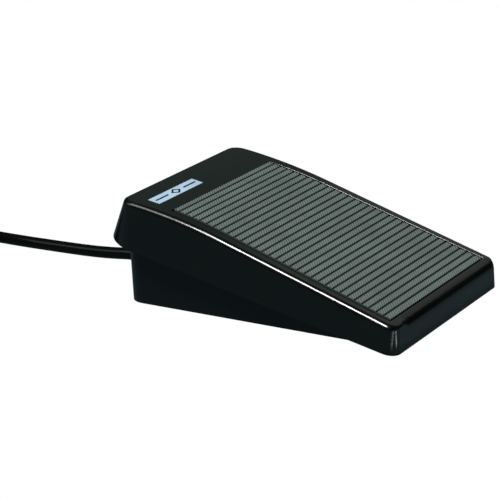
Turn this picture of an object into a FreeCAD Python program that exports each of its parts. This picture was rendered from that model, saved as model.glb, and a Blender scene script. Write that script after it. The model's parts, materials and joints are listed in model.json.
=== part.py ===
import FreeCAD, Part
import math
import os
import re

import Sketcher

# Foot control pedal of an office dictation machine: a sprung treadle that rocks on a pin near its
# low end and works two snap-action switches inside a flat base, with its lead and plug.
# Frame: origin at the centre of the footprint on the floor, +X across, +Y towards the high toe end
# where the lead leaves, +Z up. The treadle is drawn at rest, fully raised.

SIZES = [
    # treadle shell: "rise" is measured square to the plane of its lower rim
    ("rim_half_width", 52.4, "half width at the lower rim"),
    ("rim_run", 161.65, "length of the rim along its own incline"),
    ("rim_front_y", -79.0, "front of the rim"),
    ("rim_front_z", 2.0, "gap under the front of the rim"),
    ("incline", 12.2, "incline of the rim"),
    ("front_rise", 12.86, "height of the front top edge over the rim"),
    ("side_draft", 6.0, "draft of the side skirts"),
    ("front_draft", 13.0, "draft of the front skirt"),
    ("rear_draft", 20.0, "draft of the rear skirt"),
    ("front_slope", 5.54, "slope of the top's long part against the rim"),
    ("rear_slope", 4.11, "slope of the top's rear part against the rim, falling"),
    ("straight_run", 94.8, "long straight part of the top"),
    ("bend_run", 50.0, "arc between the two straight parts"),
    ("loft_rise", 26.0, "height of the upper plan outline"),
    ("front_corner", 6.0, "front plan corner at the rim"),
    ("rear_corner", 19.0, "rear plan corner at the rim"),
    ("front_corner_top", 3.4, "front plan corner of the upper outline"),
    ("rear_corner_top", 4.4, "rear plan corner of the upper outline"),
    ("edge_round", 2.4, "rounding of the top edges"),
    ("front_round", 6.2, "rounding of the front top edge"),
    ("skirt_wall", 2.2, "wall of the skirts"),
    ("top_wall", 2.4, "wall of the top"),
    # tread mat and label
    ("mat_front_half", 44.4, "half width of the mat at the front"),
    ("mat_rear_half", 41.5, "half width of the mat at the rear"),
    ("mat_start", 5.5, "from the front top edge to the mat"),
    ("mat_run", 120.1, "length of the mat"),
    ("mat_proud", 0.3, "height of the mat over the cover"),
    ("mat_sunk", 0.8, "depth of its recess"),
    ("mat_gap", 0.45, "clearance between the mat and its recess, front and rear"),
    ("mat_side_gap", 1.8, "clearance between the mat and its recess at each side"),
    ("recess_round", 0.4, "rounding of the recess's rim"),
    ("rib_pitch", 3.91, "pitch of the ribs"),
    ("rib_count", 31, "number of ribs"),
    ("rear_rib", 3.0, "width of the rearmost rib"),
    ("groove_width", 0.9, "width of a groove"),
    ("groove_depth", 0.7, "depth of a groove"),
    ("label_left", -41.4, "left end of the label"),
    ("label_right", -4.9, "right end of the label"),
    ("label_start", 134.0, "from the front top edge to the label"),
    ("label_run", 6.6, "height of the label"),
    ("label_proud", 0.15, "height of the label over the cover"),
    ("label_sunk", 0.35, "depth of its recess"),
    # hinge
    ("pin_y", -64.0, "hinge axis"),
    ("pin_z", 11.0, "hinge axis"),
    ("pin_radius", 1.5, "hinge pin"),
    ("pin_half", 39.8, "half length of the pin"),
    ("pin_neck", 1.1, "pin radius in the clip groove"),
    ("clip_radius", 3.2, "pin clip"),
    ("clip_inner", 38.2, "inner face of a clip"),
    ("clip_thick", 0.6, "thickness of a clip"),
    ("bush_radius", 3.0, "outside of a bush"),
    ("bush_bore", 1.55, "bore of a bush"),
    ("bush_flange", 4.0, "flange of a bush"),
    ("flange_thick", 0.7, "thickness of a bush's flange"),
    ("lug_inner", 27.0, "inner face of a treadle lug"),
    ("lug_outer", 33.0, "outer face of a treadle lug"),
    ("lug_radius", 4.2, "round end of a treadle lug"),
    ("post_inner", 34.0, "inner face of a base lug"),
    ("post_outer", 38.0, "outer face of a base lug"),
    ("post_radius", 4.6, "round end of a base lug"),
    # base
    ("base_half", 42.6, "half width of the base"),
    ("base_front", -73.5, "front wall of the base"),
    ("base_rear", 72.2, "rear wall of the base"),
    ("base_corner", 9.3, "plan corner of the base"),
    ("base_low", 2.5, "underside of the base"),
    ("base_wall", 2.2, "walls of the base"),
    ("floor_low", 4.0, "underside of the moulded floor"),
    ("floor_top", 6.0, "top of the moulded floor"),
    ("wall_front_top", 9.0, "top of the front wall"),
    ("wall_rear_top", 36.0, "top of the rear wall"),
    ("base_overcut", 60.0, "height of the blank before its top is cut"),
    ("plate_inset", 2.6, "edge of the steel plate inside the base's outline"),
    ("foot_radius", 6.0, "rubber foot"),
    ("foot_stem", 2.0, "stem of a foot in the plate"),
    ("foot_x", 25.0, "feet across"),
    ("foot_front", -62.0, "front feet"),
    ("foot_rear", 60.0, "rear feet"),
    ("screw_x", 34.0, "bottom screws across"),
    ("screw_front", -48.0, "front bottom screws"),
    ("screw_rear", 62.0, "rear bottom screws"),
    ("screw_radius", 1.25, "self-tapping screw"),
    ("screw_head", 2.6, "countersunk head"),
    ("screw_tip", 12.0, "top of a bottom screw"),
    ("boss_radius", 3.5, "screw boss"),
    ("boss_top", 14.0, "top of a screw boss"),
    ("small_head", 2.6, "pan head of an inside screw"),
    ("small_head_high", 1.8, "height of a pan head"),
    # return springs
    ("spring_x", 30.0, "return springs across"),
    ("spring_y", 50.0, "return springs along"),
    ("spring_radius", 6.0, "mean radius of a spring"),
    ("spring_wire", 0.6, "wire radius of a spring"),
    ("spring_close", 1.3, "pitch of a spring's closed end turns"),
    ("spring_turns", 8.0, "turns of a spring"),
    ("spring_steps", 12.0, "runs in each turn"),
    ("spring_top", 44.0, "upper seat of a spring"),
    ("pilot_radius", 4.2, "pilots inside a spring"),
    ("pilot_high", 4.0, "height of a pilot"),
    ("seat_radius", 8.6, "spring seat boss of the treadle"),
    # down stops
    ("bumper_x", 22.0, "down stops across"),
    ("bumper_y", 34.0, "down stops along"),
    ("bumper_low", 30.0, "seat of a bumper"),
    ("bumper_top", 35.0, "top of a bumper"),
    ("bumper_radius", 4.5, "rubber bumper"),
    ("stop_post", 5.0, "post under a bumper"),
    ("stop_boss_low", 42.2, "underside of the treadle's stop boss"),
    # up stop
    ("strap_half", 22.0, "half length of the stop plate"),
    ("strap_front", 58.0, "front edge of the stop plate"),
    ("strap_rear", 68.0, "rear edge of the stop plate"),
    ("strap_low", 26.0, "underside of the stop plate"),
    ("strap_thick", 1.5, "stop plate"),
    ("strap_post", 4.0, "posts of the stop plate"),
    ("strap_screw_x", 17.0, "screws of the stop plate"),
    ("hook_half", 7.0, "half width of the hook"),
    ("hook_front", 40.0, "front end of the hook's upper flange"),
    ("hook_web", 52.5, "front face of the hook's web"),
    ("hook_rear", 65.0, "rear end of the hook's foot"),
    ("hook_low", 22.5, "underside of the hook's foot"),
    ("hook_thick", 1.5, "hook sheet"),
    ("hook_top", 46.0, "upper face of the hook's flange"),
    ("hook_screw_x", 4.0, "hook screws across"),
    ("hook_screw_y", 45.0, "hook screws along"),
    ("pad_front", 59.0, "front edge of the felt pad"),
    ("pad_top", 25.85, "top of the felt pad"),
    # switches
    ("web_half", 0.75, "half thickness of the bracket's web"),
    ("web_front", -18.0, "front of the bracket"),
    ("web_rear", 14.0, "rear of the bracket"),
    ("web_top", 24.0, "top of the bracket's web"),
    ("bracket_foot", 20.5, "outer edge of the bracket's flange"),
    ("bracket_sheet", 1.5, "bracket sheet"),
    ("bracket_screw_x", 16.0, "bracket screws across"),
    ("bracket_screw_front", -12.0, "front bracket screw"),
    ("bracket_screw_rear", 8.0, "rear bracket screw"),
    ("switch_thick", 10.3, "thickness of a switch"),
    ("switch_front", -16.0, "front end of a switch"),
    ("switch_rear", 11.8, "rear end of a switch"),
    ("switch_low", 8.0, "underside of a switch"),
    ("switch_top", 23.9, "top of a switch"),
    ("switch_hole", 1.6, "fixing holes of a switch"),
    ("switch_hole_front", -13.1, "front fixing hole"),
    ("switch_hole_rear", 9.1, "rear fixing hole"),
    ("switch_hole_z", 11.0, "height of the fixing holes"),
    ("long_screw", 1.5, "switch screws"),
    ("long_screw_half", 13.6, "half length of the switch screws"),
    ("nut_thick", 2.2, "nuts"),
    ("nut_radius", 2.9, "nuts across corners, halved"),
    ("ear_inner", 2.6, "inner face of a lever ear"),
    ("ear_thick", 1.0, "lever ear"),
    ("ear_top", 26.4, "top of a lever ear"),
    ("pivot_y", -13.5, "lever pivot"),
    ("pivot_z", 25.0, "lever pivot"),
    ("pivot_radius", 0.45, "lever pivot pin"),
    ("pivot_bore", 0.5, "hole in an ear"),
    ("pivot_half", 3.5, "half length of the lever pin"),
    ("lever_half", 2.0, "half width of a lever"),
    ("lever_thick", 0.5, "lever strip"),
    ("lever_run", 26.0, "length of a lever"),
    ("lever_rise", 14.0, "angle of a lever at rest"),
    ("plunger_y", -9.0, "plunger"),
    ("plunger_radius", 1.0, "plunger"),
    ("plunger_bore", 1.05, "hole of the plunger"),
    ("plunger_low", 19.5, "lower end of the plunger"),
    ("plunger_top", 25.5, "upper end of the plunger"),
    ("plunger_floor", 17.9, "bottom of the plunger's hole"),
    ("blade_half", 1.6, "half height of a terminal blade"),
    ("blade_thick", 0.5, "terminal blade"),
    ("blade_tip", -21.0, "tip of a terminal blade"),
    ("blade_low", 11.0, "lowest terminal"),
    ("blade_step", 4.5, "spacing of the terminals"),
    # adjusting screws
    ("push_y", 10.0, "adjusting screws along"),
    ("push_radius", 1.5, "adjusting screw"),
    ("push_tip", 31.3, "tip of an adjusting screw"),
    ("push_cone", 1.7, "length of its cone"),
    ("push_point", 0.3, "radius of its point"),
    ("push_head", 40.0, "upper end of an adjusting screw"),
    ("push_boss", 4.0, "boss of an adjusting screw"),
    ("push_boss_low", 36.5, "underside of that boss"),
    # lead
    ("cord_radius", 3.0, "lead"),
    ("cord_z", 9.0, "height of the lead in the rear wall"),
    ("boot_root", 5.2, "boot radius at the wall"),
    ("boot_end", 3.7, "boot radius at its end"),
    ("boot_run", 20.0, "length of the boot behind the wall"),
    ("boot_neck", 4.2, "boot radius in the wall"),
    ("boot_flange", 4.9, "boot flange inside the wall"),
    ("boot_flange_thick", 1.5, "thickness of that flange"),
    ("ring_radius", 0.5, "relief rings of the boot"),
    ("clamp_front", 36.0, "front of the cord clamp"),
    ("clamp_rear", 44.0, "rear of the cord clamp"),
    ("clamp_half", 11.0, "half width of the cord clamp"),
    ("clamp_top", 13.0, "top of the cord clamp"),
    ("clamp_screw_x", 7.4, "clamp screws across"),
    ("inner_cord_end", 33.0, "front end of the lead inside"),
    ("wire_radius", 0.65, "insulated wires"),
    ("coil_x", -27.75, "middle of the put-away coil"),
    ("coil_y", 218.0, "middle of the put-away coil"),
    ("coil_inner", 20.0, "inside of the coil"),
    ("coil_outer", 38.3, "outside of the coil"),
    ("coil_high", 18.4, "height of the coil"),
    # plug
    ("plug_radius", 4.3, "grip of the plug"),
    ("plug_offset", 31.0, "from the coil's middle to the plug's axis"),
    ("plug_grip_run", 24.0, "length of the grip"),
    ("plug_tail_run", 7.0, "length of the grip's tapered tail"),
    ("plug_tail", 3.4, "radius of the tail's end"),
    ("plug_start", 6.0, "from the plug's tail end to the coil's middle"),
    ("barrel_radius", 1.75, "contact barrel of the plug"),
    ("sleeve_run", 6.0, "length of the sleeve contact"),
    ("insulator_run", 0.8, "insulating rings of the plug"),
    ("ring_run", 2.2, "length of the ring contact"),
    ("tip_run", 3.6, "length of the tip contact"),
    ("tip_waist", 0.72, "waist of the tip contact against its barrel"),
    ("tip_point", 0.5, "radius at the end of the tip"),
]

doc = FreeCAD.newDocument("FootPedal")
sheet = doc.addObject("Spreadsheet::Sheet", "Sizes")
for row, (alias, value, meaning) in enumerate(SIZES, start=1):
    sheet.set(f"A{row}", alias)
    sheet.set(f"B{row}", str(value))
    sheet.set(f"C{row}", meaning)
    sheet.setAlias(f"B{row}", alias)
doc.recompute()

ALIASES = {alias for alias, value, meaning in SIZES}
X = FreeCAD.Vector(1, 0, 0)
Y = FreeCAD.Vector(0, 1, 0)
Z = FreeCAD.Vector(0, 0, 1)
ALONG_X = FreeCAD.Rotation(Y, 90)
ALONG_Y = FreeCAD.Rotation(X, -90)
UPRIGHT = FreeCAD.Rotation(FreeCAD.Vector(1, 1, 1), 120)
nodes = []


def bound(text):
    """The expression with each size's name read from the sheet."""
    return re.sub(r"[a-z_]+", lambda m: f"Sizes.{m[0]}" if m[0] in ALIASES else m[0], str(text))


def size(text):
    """The number that an expression in the sheet's names comes to."""
    value = sheet.evalExpression(bound(text))
    return float(getattr(value, "Value", value))


def bind(thing, **settings):
    for prop, text in settings.items():
        thing.setExpression(prop, bound(text))
    return thing


def at(thing, x="0", y="0", z="0"):
    """Puts an object at a point given in the sheet's names."""
    for axis, text in zip("xyz", (x, y, z)):
        thing.setExpression(f"Placement.Base.{axis}", bound(text))
    return thing


def node(thing, label):
    """Marks an object as a sub-part of the pedal."""
    thing.Label = label
    nodes.append(thing)
    return thing


def box(name, x_span, y_span, z_span):
    """A box between pairs of planes."""
    made = doc.addObject("Part::Box", name)
    for prop, (low, high) in zip(("Length", "Width", "Height"), (x_span, y_span, z_span)):
        bind(made, **{prop: f"({high}) - ({low})"})
    return at(made, x_span[0], y_span[0], z_span[0])


def lying(thing, axis, low, side, up):
    """Turns a round primitive from +Z to an axis and puts its start there."""
    if axis == "X":
        thing.Placement.Rotation = ALONG_X
        return at(thing, low, side, up)
    if axis == "Y":
        thing.Placement.Rotation = ALONG_Y
        return at(thing, side, low, up)
    return at(thing, side, up, low)


def rod(name, axis, radius, low, high, side, up):
    """A cylinder along an axis. side and up are its other two coordinates, in X, Y, Z order."""
    made = doc.addObject("Part::Cylinder", name)
    bind(made, Radius=radius, Height=f"({high}) - ({low})")
    return lying(made, axis, low, side, up)


def taper(name, axis, radius_low, radius_high, low, high, side, up):
    """A cone along an axis, as rod."""
    made = doc.addObject("Part::Cone", name)
    bind(made, Radius1=radius_low, Radius2=radius_high, Height=f"({high}) - ({low})")
    return lying(made, axis, low, side, up)


def fuse(name, *things):
    made = doc.addObject("Part::MultiFuse", name)
    made.Shapes = list(things)
    return made


def common(name, *things):
    made = doc.addObject("Part::MultiCommon", name)
    made.Shapes = list(things)
    return made


def cut(name, base, *tools):
    made = doc.addObject("Part::Cut", name)
    made.Base = base
    made.Tool = tools[0] if len(tools) == 1 else fuse(name + "_tools", *tools)
    return made


def group(name, *things):
    """Separate solids that share one sub-part."""
    made = doc.addObject("Part::Compound", name)
    made.Links = list(things)
    return made


def each(name, count, make):
    """make(i) for a row of like pieces, as a list."""
    return [make(f"{name}_{i + 1}", i) for i in range(count)]


def limit(sketch, kind, *places):
    """A sketch constraint whose value comes from the sheet: the last place is its expression."""
    *where, text = places
    index = sketch.addConstraint(Sketcher.Constraint(kind, *where, size(text)))
    sketch.setExpression(f"Constraints[{index}]", bound(text))


def rounded_rectangle(sketch, left, right, low, high, low_radius, high_radius):
    """A rectangle with one radius for its two low corners and one for its two high ones."""
    x0, x1, y0, y1 = size(left), size(right), size(low), size(high)
    r0, r1 = size(low_radius), size(high_radius)
    corners = [(x1 - r0, y0 + r0, r0, -90), (x1 - r1, y1 - r1, r1, 0)]
    corners += [(x0 + r1, y1 - r1, r1, 90), (x0 + r0, y0 + r0, r0, 180)]
    arcs = []
    for cx, cy, radius, start in corners:
        circle = Part.Circle(FreeCAD.Vector(cx, cy, 0), Z, radius)
        arcs.append(Part.ArcOfCircle(circle, math.radians(start), math.radians(start + 90)))
    for i, arc in enumerate(arcs):
        sketch.addGeometry(Part.LineSegment(arcs[i - 1].EndPoint, arc.StartPoint), False)
        sketch.addGeometry(arc, False)
    for i in range(4):
        line, arc, after = 2 * i, 2 * i + 1, (2 * i + 2) % 8
        sketch.addConstraint(Sketcher.Constraint("Tangent", line, 2, arc, 1))
        sketch.addConstraint(Sketcher.Constraint("Tangent", arc, 2, after, 1))
        sketch.addConstraint(Sketcher.Constraint("Horizontal" if i % 2 == 0 else "Vertical", line))
        limit(sketch, "Radius", arc, low_radius if i in (0, 3) else high_radius)
    limit(sketch, "DistanceY", -1, 1, 0, 1, low)
    limit(sketch, "DistanceX", -1, 1, 2, 1, right)
    limit(sketch, "DistanceY", -1, 1, 4, 1, high)
    limit(sketch, "DistanceX", -1, 1, 6, 1, left)


def polygon(sketch, corners):
    """A closed outline of straight sides, each corner held by its two coordinates."""
    points = [FreeCAD.Vector(size(x), size(y), 0) for x, y in corners]
    for i, point in enumerate(points):
        sketch.addGeometry(Part.LineSegment(point, points[(i + 1) % len(points)]), False)
    for i, (x, y) in enumerate(corners):
        last = (i - 1) % len(points)
        sketch.addConstraint(Sketcher.Constraint("Coincident", last, 2, i, 1))
        limit(sketch, "DistanceX", -1, 1, i, 1, x)
        limit(sketch, "DistanceY", -1, 1, i, 1, y)


def body_sketch(body, plane, name):
    """A sketch on one of a body's own origin planes."""
    sketch = body.newObject("Sketcher::SketchObject", name)
    origin = [f for f in body.Origin.OriginFeatures if f.Role == plane][0]
    sketch.AttachmentSupport = [(origin, "")]
    sketch.MapMode = "FlatFace"
    return sketch


def circles(sketch, places):
    """Circles given as (x, y, radius)."""
    for i, (x, y, radius) in enumerate(places):
        centre = FreeCAD.Vector(size(x), size(y), 0)
        sketch.addGeometry(Part.Circle(centre, Z, size(radius)), False)
        limit(sketch, "DistanceX", -1, 1, i, 3, x)
        limit(sketch, "DistanceY", -1, 1, i, 3, y)
        limit(sketch, "Radius", i, radius)


def pad(body, sketch, length, name):
    made = body.newObject("PartDesign::Pad", name)
    made.Profile = sketch
    return bind(made, Length=length)


def pocket_through(body, sketch, name):
    """Cuts a sketch through the whole body, both ways."""
    made = body.newObject("PartDesign::Pocket", name)
    made.Profile = sketch
    made.Type = "ThroughAll"
    made.Midplane = True
    return made


# ---- the treadle's own frame: u runs up the rim's incline, v stands square to it ----

TILT = FreeCAD.Placement(
    FreeCAD.Vector(0, size("rim_front_y"), size("rim_front_z")),
    FreeCAD.Rotation(X, size("incline")),
)


def tilted(x=0, u=0, v=0, rotation=None):
    """A placement given in the treadle's frame."""
    return TILT * FreeCAD.Placement(FreeCAD.Vector(x, u, v), rotation or FreeCAD.Rotation())


def top_point(run):
    """(u, v, slope in degrees) of the treadle's top, run millimetres behind its front top edge."""
    front, rear = size("front_slope"), size("rear_slope")
    straight, bend = size("straight_run"), size("bend_run")
    radius = bend / math.radians(front + rear)
    u = size("front_rise * tan(front_draft)")
    v = size("front_rise")
    flat = min(run, straight)
    u += flat * math.cos(math.radians(front))
    v += flat * math.sin(math.radians(front))
    turned = min(max(run - straight, 0), bend) / radius
    slope = math.radians(front) - turned
    u += radius * (math.sin(math.radians(front)) - math.sin(slope))
    v += radius * (math.cos(slope) - math.cos(math.radians(front)))
    after = max(run - straight - bend, 0)
    u += after * math.cos(slope)
    v += after * math.sin(slope)
    return u, v, math.degrees(slope)


def plan_outline(name, rise, inset, front_radius, rear_radius):
    """The treadle's plan outline at a height over the rim."""
    sketch = doc.addObject("Sketcher::SketchObject", name)
    side = f"rim_half_width - ({rise}) * tan(side_draft) - ({inset})"
    low = f"({rise}) * tan(front_draft) + ({inset})"
    high = f"rim_run - ({rise}) * tan(rear_draft) - ({inset})"
    rounded_rectangle(sketch, f"-({side})", side, low, high, front_radius, rear_radius)
    sketch.Placement = tilted(v=size(rise))
    return sketch


def plan_block(name, inset, start):
    """The drafted block inside the treadle's skirts."""
    low = plan_outline(name + "_low", start, inset, f"front_corner - ({inset})", f"rear_corner - ({inset})")
    top = plan_outline(
        name + "_high", "loft_rise", inset, f"front_corner_top - ({inset})", f"rear_corner_top - ({inset})"
    )
    made = doc.addObject("Part::Loft", name)
    made.Sections = [low, top]
    made.Solid = True
    made.Ruled = True
    return made


def under_top(name, shift, half):
    """Everything under the treadle's top, which is raised by shift."""
    sketch = doc.addObject("Sketcher::SketchObject", name + "_profile")
    u1, v1, slope1 = top_point(size("straight_run"))
    u2, v2, slope2 = top_point(size("straight_run + bend_run"))
    rise = size(shift)
    radius = size("bend_run / (front_slope + rear_slope)") / math.radians(1)
    margin = 12.0
    low = -12.0
    a1, a2 = math.radians(slope1), math.radians(slope2)
    u0, u3 = -margin, size("rim_run") + margin
    start = FreeCAD.Vector(u0, v1 + rise - (u1 - u0) * math.tan(a1), 0)
    one = FreeCAD.Vector(u1, v1 + rise, 0)
    two = FreeCAD.Vector(u2, v2 + rise, 0)
    end = FreeCAD.Vector(u3, v2 + rise + (u3 - u2) * math.tan(a2), 0)
    centre = one + FreeCAD.Vector(math.sin(a1), -math.cos(a1), 0) * radius
    circle = Part.Circle(centre, Z, radius)
    arc = Part.ArcOfCircle(circle, math.pi / 2 + a2, math.pi / 2 + a1)
    sketch.addGeometry(Part.LineSegment(start, one), False)
    sketch.addGeometry(arc, False)
    sketch.addGeometry(Part.LineSegment(two, end), False)
    floor = [FreeCAD.Vector(u3, low, 0), FreeCAD.Vector(u0, low, 0)]
    sketch.addGeometry(Part.LineSegment(end, floor[0]), False)
    sketch.addGeometry(Part.LineSegment(floor[0], floor[1]), False)
    sketch.addGeometry(Part.LineSegment(floor[1], start), False)
    tie = sketch.addConstraint
    tie(Sketcher.Constraint("Tangent", 0, 2, 1, 2))
    tie(Sketcher.Constraint("Tangent", 1, 1, 2, 1))
    tie(Sketcher.Constraint("Coincident", 2, 2, 3, 1))
    tie(Sketcher.Constraint("Coincident", 3, 2, 4, 1))
    tie(Sketcher.Constraint("Coincident", 4, 2, 5, 1))
    tie(Sketcher.Constraint("Coincident", 5, 2, 0, 1))
    tie(Sketcher.Constraint("Vertical", 3))
    tie(Sketcher.Constraint("Horizontal", 4))
    tie(Sketcher.Constraint("Vertical", 5))
    joint_u = "front_rise * tan(front_draft) + straight_run * cos(front_slope)"
    joint_v = f"front_rise + straight_run * sin(front_slope) + ({shift})"
    limit(sketch, "DistanceX", -1, 1, 0, 2, joint_u)
    limit(sketch, "DistanceY", -1, 1, 0, 2, joint_v)
    limit(sketch, "Radius", 1, "bend_run / (front_slope + rear_slope) * 180 / pi")
    limit(sketch, "DistanceX", -1, 1, 4, 1, f"rim_run + {margin}")
    limit(sketch, "DistanceX", -1, 1, 4, 2, f"-{margin}")
    limit(sketch, "DistanceY", -1, 1, 4, 2, f"{low}")
    tie(Sketcher.Constraint("Angle", 0, a1))
    tie(Sketcher.Constraint("Angle", 2, a2))
    sketch.Placement = tilted(x=-size(half), rotation=UPRIGHT)
    made = doc.addObject("Part::Extrusion", name)
    made.Base = sketch
    made.DirMode = "Normal"
    made.Solid = True
    return bind(made, LengthFwd=f"2 * ({half})")


def facing(face, direction):
    """How far a face's middle points along a direction, from -1 to 1."""
    u0, u1, v0, v1 = face.ParameterRange
    return face.normalAt((u0 + u1) / 2, (v0 + v1) / 2).dot(direction)


def top_edges(shape):
    """Numbers of the edges between the treadle's top and its skirts."""
    up = TILT.Rotation.multVec(Z)
    tops = [f for f in shape.Faces if facing(f, up) > 0.9]
    skirts = [f for f in shape.Faces if abs(facing(f, up)) < 0.7]
    found = []
    for number, edge in enumerate(shape.Edges, start=1):
        in_top = any(edge.isSame(e) for f in tops for e in f.Edges)
        in_skirt = any(edge.isSame(e) for f in skirts for e in f.Edges)
        if in_top and in_skirt:
            found.append(number)
    return found


def round_top(blank):
    """Rounds the top edges. The rounding grows round the front corners to that of the front edge."""
    doc.recompute()
    side, front, reach = size("edge_round"), size("front_round"), size("front_corner")
    rows = []
    for number in top_edges(blank.Shape):
        edge = blank.Shape.Edges[number - 1]
        ends = [TILT.inverse().multVec(v.Point) for v in (edge.Vertexes[0], edge.Vertexes[-1])]
        rows.append((number, *(front if end.y < reach else side for end in ends)))
    rounded = doc.addObject("Part::Fillet", "cover_rounded")
    rounded.Base = blank
    rounded.Edges = rows
    return rounded


def recessed(rounded):
    """The cover's blank with the mat's recess, whose rim is rounded."""
    corners = mat_outline("mat_side_gap", "mat_gap")
    recess = sheet_on_top("mat_recess", corners, "mat_proud", "mat_sunk")
    blank = cut("cover_recessed", rounded, recess)
    doc.recompute()
    up = TILT.Rotation.multVec(Z)
    wide = 2 * size("mat_front_half + mat_side_gap") + 1
    tops = [f for f in blank.Shape.Faces if facing(f, up) > 0.9 and f.BoundBox.XLength > wide]
    walls = [f for f in recess.Shape.Faces if abs(facing(f, up)) < 0.5]
    rim = []
    for number, edge in enumerate(blank.Shape.Edges, start=1):
        middle = edge.valueAt((edge.FirstParameter + edge.LastParameter) / 2)
        on_wall = any(f.distToShape(Part.Vertex(middle))[0] < 0.001 for f in walls)
        if on_wall and any(edge.isSame(e) for f in tops for e in f.Edges):
            rim.append((number, size("recess_round"), size("recess_round")))
    made = doc.addObject("Part::Fillet", "recess_rounded")
    made.Base = blank
    made.Edges = rim
    return made


def treadle_cover(label_blank):
    """The moulded top shell, with its hinge lugs, spring seats, stops and screw bosses inside."""
    outline = plan_block("cover_outline", "0", "0")
    blank = common("cover_blank", outline, under_top("cover_top", "0", "rim_half_width + 5"))
    rounded = round_top(blank)
    hollow = common(
        "cover_hollow",
        plan_block("hollow_outline", "skirt_wall", "-2"),
        under_top("hollow_top", "-top_wall", "rim_half_width + 5"),
    )
    shell = cut("cover_shell", recessed(rounded), hollow)
    inside = []
    for side, name in ((1, "right"), (-1, "left")):
        inner, outer = sorted((f"{side} * lug_inner", f"{side} * lug_outer"), key=size)
        inside.append(rod(f"lug_{name}", "X", "lug_radius", inner, outer, "pin_y", "pin_z"))
        span = ("pin_y - lug_radius", "pin_y + lug_radius")
        inside.append(box(f"lug_web_{name}", (inner, outer), span, ("pin_z", "pin_z + 20")))
        x = f"{side} * spring_x"
        inside.append(rod(f"seat_{name}", "Z", "seat_radius", "spring_top", "70", x, "spring_y"))
        pilot = ("spring_top - pilot_high", "spring_top")
        inside.append(rod(f"seat_pilot_{name}", "Z", "pilot_radius", *pilot, x, "spring_y"))
        x = f"{side} * bumper_x"
        inside.append(rod(f"stop_boss_{name}", "Z", "stop_post", "stop_boss_low", "70", x, "bumper_y"))
        x = f"{side} * (web_half + switch_thick / 2)"
        inside.append(rod(f"push_boss_{name}", "Z", "push_boss", "push_boss_low", "60", x, "push_y"))
    hook_span = ("hook_front", "hook_web + hook_thick")
    inside.append(box("hook_boss", ("-hook_half - 2", "hook_half + 2"), hook_span, ("hook_top", "70")))
    posts = common("cover_posts", fuse("cover_posts_whole", *inside), hollow)
    holes = [rod("lug_bore", "X", "bush_radius", "-lug_outer - 1", "lug_outer + 1", "pin_y", "pin_z")]
    for side, name in ((1, "right"), (-1, "left")):
        x = f"{side} * (web_half + switch_thick / 2)"
        holes.append(rod(f"push_hole_{name}", "Z", "push_radius", "30", "push_head", x, "push_y"))
        x = f"{side} * hook_screw_x"
        holes.append(rod(f"hook_hole_{name}", "Z", "screw_radius", "40", "hook_top + 5", x, "hook_screw_y"))
    made = cut("treadle_cover", fuse("cover_joined", shell, posts), label_blank, *holes)
    return node(made, "treadle_cover")


def sheet_on_top(name, corners, proud, sunk):
    """A sheet of even thickness that follows the treadle's top inside a plan outline."""
    outline = doc.addObject("Sketcher::SketchObject", name + "_outline")
    polygon(outline, corners)
    outline.Placement = tilted(v=-5)
    prism = doc.addObject("Part::Extrusion", name + "_prism")
    prism.Base = outline
    prism.DirMode = "Normal"
    prism.Solid = True
    bind(prism, LengthFwd="loft_rise + 20")
    upper = under_top(name + "_upper", proud, "rim_half_width")
    lower = under_top(name + "_lower", f"-{sunk}", "rim_half_width")
    return cut(name, common(name + "_raised", prism, upper), lower)


def mat_outline(beside="0", around="0"):
    """The mat's corners, moved out at its sides and at its two ends."""
    front = top_point(size("mat_start"))[0]
    rear = top_point(size("mat_start + mat_run"))[0]
    return [
        (f"-mat_front_half - ({beside})", f"{front} - ({around})"),
        (f"mat_front_half + ({beside})", f"{front} - ({around})"),
        (f"mat_rear_half + ({beside})", f"{rear} + ({around})"),
        (f"-mat_rear_half - ({beside})", f"{rear} + ({around})"),
    ]


def label_outline():
    front = top_point(size("label_start"))[0]
    rear = top_point(size("label_start + label_run"))[0]
    return [
        ("label_left", f"{front}"),
        ("label_right", f"{front}"),
        ("label_right", f"{rear}"),
        ("label_left", f"{rear}"),
    ]


def tread_mat(blank):
    """The rubber mat, with a groove between each pair of ribs."""
    half = size("mat_front_half") + 1
    first = size("mat_start + mat_run - rear_rib")
    proud, depth, width = size("mat_proud"), size("groove_depth"), size("groove_width")

    def groove(name, i):
        u, v, slope = top_point(first - i * size("rib_pitch"))
        made = doc.addObject("Part::Box", name)
        bind(made, Length="2 * (mat_front_half + 1)", Width="groove_width", Height="groove_depth + 1")
        turn = FreeCAD.Placement(FreeCAD.Vector(), FreeCAD.Rotation(X, slope))
        corner = FreeCAD.Placement(FreeCAD.Vector(-half, -width / 2, proud - depth), FreeCAD.Rotation())
        made.Placement = tilted(u=u, v=v) * turn * corner
        return made

    grooves = each("groove", int(size("rib_count")) - 1, groove)
    return node(cut("tread_mat", blank, group("grooves", *grooves)), "tread_mat")


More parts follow.
